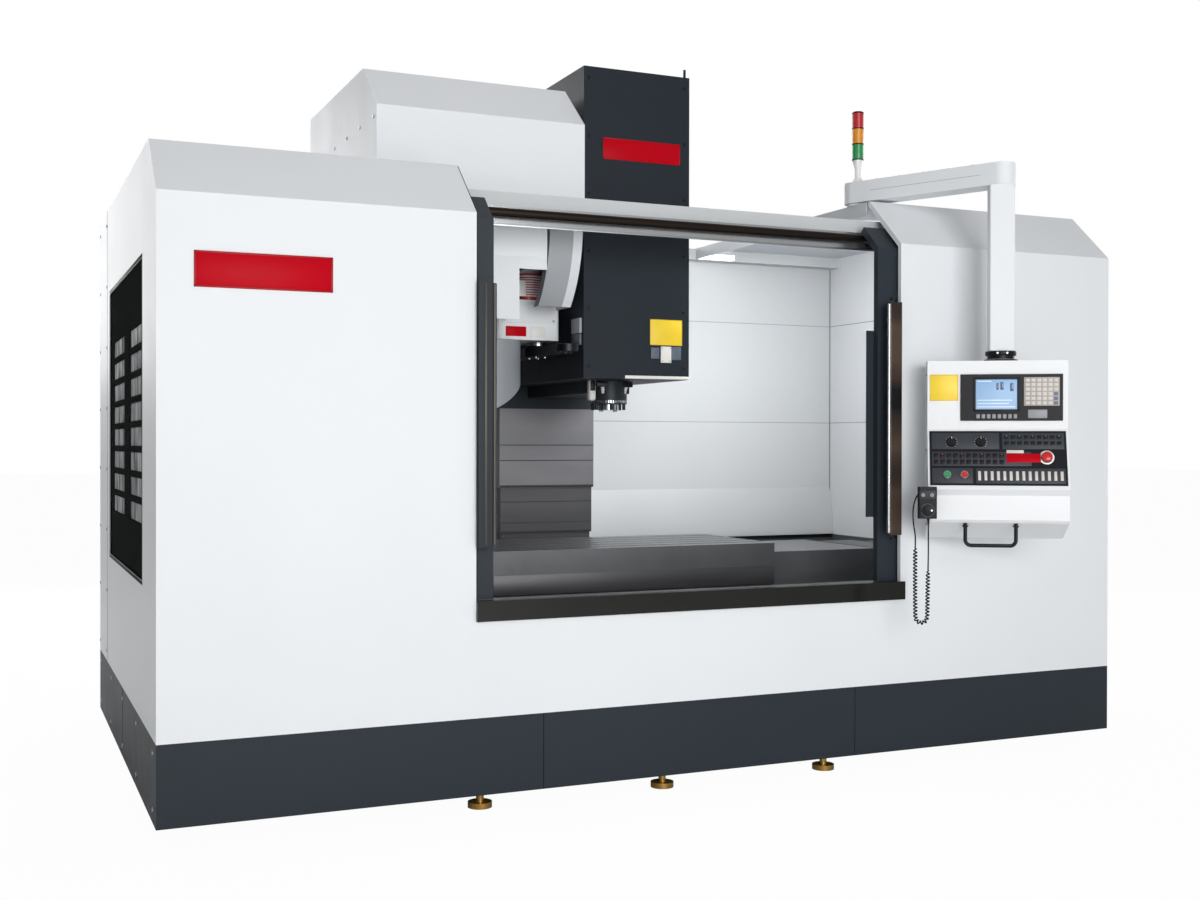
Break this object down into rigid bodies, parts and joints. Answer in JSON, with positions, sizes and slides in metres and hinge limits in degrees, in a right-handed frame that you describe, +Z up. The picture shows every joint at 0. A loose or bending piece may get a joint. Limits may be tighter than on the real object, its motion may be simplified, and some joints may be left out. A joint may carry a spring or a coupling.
{
  "type": "cnc machining center",
  "caption": "Vertical machining centre with a closed splash cabin, sliding front doors, tool magazine with change arm, and a control console on a swinging boom.",
  "frame": {"origin": "on the floor under the middle of the whole machine, its boom and tank included", "axes": "+Z up; +X to the right seen from the doors; +Y from the doors to the rear"},
  "size_m": [4.3, 3.4098, 3.15],
  "materials": {
    "white": "satin powder coat",
    "slate": "satin powder coat",
    "casting_white": "painted casting",
    "casting_grey": "painted casting",
    "grey_sheet": "semi-matt",
    "way_cover": "fine ground",
    "table_iron": "ground",
    "steel": "ground",
    "dark_steel": "blackened",
    "zinc": "yellow passivated zinc",
    "smoked_glass": "smoked, clear",
    "clear_glass": "clear",
    "black_gloss": "gloss",
    "black_plastic": "fine grain",
    "grey_plastic": "fine grain",
    "red_plastic": "gloss",
    "green_plastic": "gloss",
    "pot_plastic": "smooth",
    "tower_plastic": "translucent lamps",
    "lamp_white": "diffuser",
    "cord_rubber": "smooth jacket"
  },
  "bodies": {
    "machine": {"front_panels": "white", "front_apron": "white", "side_panels": "white", "side_window": "smoked_glass", "window_guard": "white", "roof_panels": "white", "rear_panels": "white", "plinth": "slate", "inner_walls": "white", "chip_pan": "grey_sheet", "sill_rail": "black_gloss", "door_rail": "steel", "levelling_pads": "zinc", "bed": "casting_grey", "column": "casting_white", "feed_drives": "steel", "fixed_way_covers": "way_cover", "magazine_frame": "casting_white", "magazine_hood": "white", "change_unit": "white", "electrical_cabinet": "white", "coolant_tank": "grey_sheet", "work_light": "lamp_white"},
    "left_door": {"left_door": "slate", "left_door_window": "clear_glass", "left_door_handle": "black_plastic"},
    "right_door": {"right_door": "slate", "right_door_window": "clear_glass", "right_door_handle": "black_plastic"},
    "saddle": {"saddle": "way_cover"},
    "table": {"table": "table_iron"},
    "front_cover_slide": {"front_cover_slide": "way_cover"},
    "left_cover_slide": {"left_cover_slide": "way_cover"},
    "right_cover_slide": {"right_cover_slide": "way_cover"},
    "column_cover_slide": {"column_cover_slide": "way_cover"},
    "head": {"head_casting": "casting_white", "head_cover": "slate"},
    "spindle": {"spindle": "steel"},
    "magazine": {"magazine_disc": "steel"},
    "ready_pot": {"ready_pot": "pot_plastic"},
    "arm_sleeve": {"arm_sleeve": "steel"},
    "change_arm": {"change_arm": "dark_steel"},
    "boom": {"boom": "white", "signal_tower": "tower_plastic"},
    "console": {"console_shell": "white", "cnc_unit": "black_plastic", "operator_panel": "black_plastic", "console_handle": "black_plastic", "pendant": "black_plastic", "pendant_cord_in": "cord_rubber", "pendant_coil": "cord_rubber", "pendant_cord_out": "cord_rubber"},
    "emergency_stop": {"emergency_stop": "red_plastic"},
    "feed_knob": {"feed_knob": "black_plastic"},
    "spindle_knob": {"spindle_knob": "black_plastic"},
    "start_button": {"start_button": "green_plastic"},
    "hold_button": {"hold_button": "red_plastic"},
    "pendant_dial": {"pendant_dial": "black_plastic"},
    "axis_selector": {"axis_selector": "grey_plastic"},
    "step_selector": {"step_selector": "grey_plastic"}
  },
  "joints": [
    {"name": "left_door_slide", "type": "slide", "parent": "machine", "child": "left_door", "axis": [1, 0, 0], "range_m": [0, 0.8935]},
    {"name": "right_door_slide", "type": "slide", "parent": "machine", "child": "right_door", "axis": [1, 0, 0], "range_m": [-0.8775, 0]},
    {"name": "y_axis", "type": "slide", "parent": "machine", "child": "saddle", "axis": [0, 1, 0], "range_m": [-0.3, 0.3]},
    {"name": "x_axis", "type": "slide", "parent": "saddle", "child": "table", "axis": [1, 0, 0], "range_m": [-0.55, 0.55]},
    {"name": "front_cover", "type": "slide", "parent": "machine", "child": "front_cover_slide", "axis": [0, 1, 0], "range_m": [-0.15, 0.15]},
    {"name": "left_cover", "type": "slide", "parent": "saddle", "child": "left_cover_slide", "axis": [1, 0, 0], "range_m": [-0.275, 0.275]},
    {"name": "right_cover", "type": "slide", "parent": "saddle", "child": "right_cover_slide", "axis": [1, 0, 0], "range_m": [-0.275, 0.275]},
    {"name": "z_axis", "type": "slide", "parent": "machine", "child": "head", "axis": [0, 0, 1], "range_m": [-0.47, 0.288]},
    {"name": "column_cover", "type": "slide", "parent": "machine", "child": "column_cover_slide", "axis": [0, 0, 1], "range_m": [-0.235, 0.144]},
    {"name": "spindle_spin", "type": "hinge", "parent": "head", "child": "spindle", "pos_m": [0, -0.18011, 1.562], "axis": [0, 0, 1], "continuous": true},
    {"name": "magazine_turn", "type": "hinge", "parent": "machine", "child": "magazine", "pos_m": [-0.66, -0.18011, 2.341], "axis": [1, 0, 0], "continuous": true},
    {"name": "pot_tilt", "type": "hinge", "parent": "magazine", "child": "ready_pot", "pos_m": [-0.676, -0.18011, 1.941], "axis": [0, -1, 0], "range_deg": [0, 90]},
    {"name": "arm_stroke", "type": "slide", "parent": "machine", "child": "arm_sleeve", "axis": [0, 0, 1], "range_m": [-0.13, 0]},
    {"name": "arm_swing", "type": "hinge", "parent": "arm_sleeve", "child": "change_arm", "pos_m": [-0.361, -0.18011, 1.845], "axis": [0, 0, 1], "range_deg": [-6, 6]},
    {"name": "boom_swing", "type": "hinge", "parent": "machine", "child": "boom", "pos_m": [1.005, -0.75711, 2.512], "axis": [0, 0, 1], "range_deg": [-15, 8]},
    {"name": "console_swivel", "type": "hinge", "parent": "boom", "child": "console", "pos_m": [1.299, -1.39811, 1.757], "axis": [0, 0, 1], "range_deg": [-12, 70]},
    {"name": "emergency_stop_press", "type": "slide", "parent": "console", "child": "emergency_stop", "axis": [0.5336, 0.791, -0.2993], "range_m": [0, 0.006]},
    {"name": "start_press", "type": "slide", "parent": "console", "child": "start_button", "axis": [0.5336, 0.791, -0.2993], "range_m": [0, 0.004], "stiffness_N_per_m": 500, "springref_m": -0.002},
    {"name": "hold_press", "type": "slide", "parent": "console", "child": "hold_button", "axis": [0.5336, 0.791, -0.2993], "range_m": [0, 0.004], "stiffness_N_per_m": 500, "springref_m": -0.002},
    {"name": "feed_turn", "type": "hinge", "parent": "console", "child": "feed_knob", "pos_m": [1.04663, -1.38778, 1.41084], "axis": [0.5336, 0.791, -0.2993], "range_deg": [-135, 135]},
    {"name": "spindle_turn", "type": "hinge", "parent": "console", "child": "spindle_knob", "pos_m": [1.14611, -1.45488, 1.41084], "axis": [0.5336, 0.791, -0.2993], "range_deg": [-135, 135]},
    {"name": "dial_turn", "type": "hinge", "parent": "console", "child": "pendant_dial", "pos_m": [0.90257, -1.41538, 1.128], "axis": [0.5592, 0.829, 0], "continuous": true},
    {"name": "axis_select", "type": "hinge", "parent": "console", "child": "axis_selector", "pos_m": [0.88765, -1.40531, 1.192], "axis": [0.5592, 0.829, 0], "range_deg": [-75, 75]},
    {"name": "step_select", "type": "hinge", "parent": "console", "child": "step_selector", "pos_m": [0.91749, -1.42544, 1.192], "axis": [0.5592, 0.829, 0], "range_deg": [-45, 45]}
  ],
  "couplings": [
    {"joint": "front_cover", "follows": "y_axis", "ratio": 0.5},
    {"joint": "left_cover", "follows": "x_axis", "ratio": 0.5},
    {"joint": "right_cover", "follows": "x_axis", "ratio": 0.5},
    {"joint": "column_cover", "follows": "z_axis", "ratio": 0.5}
  ]
}
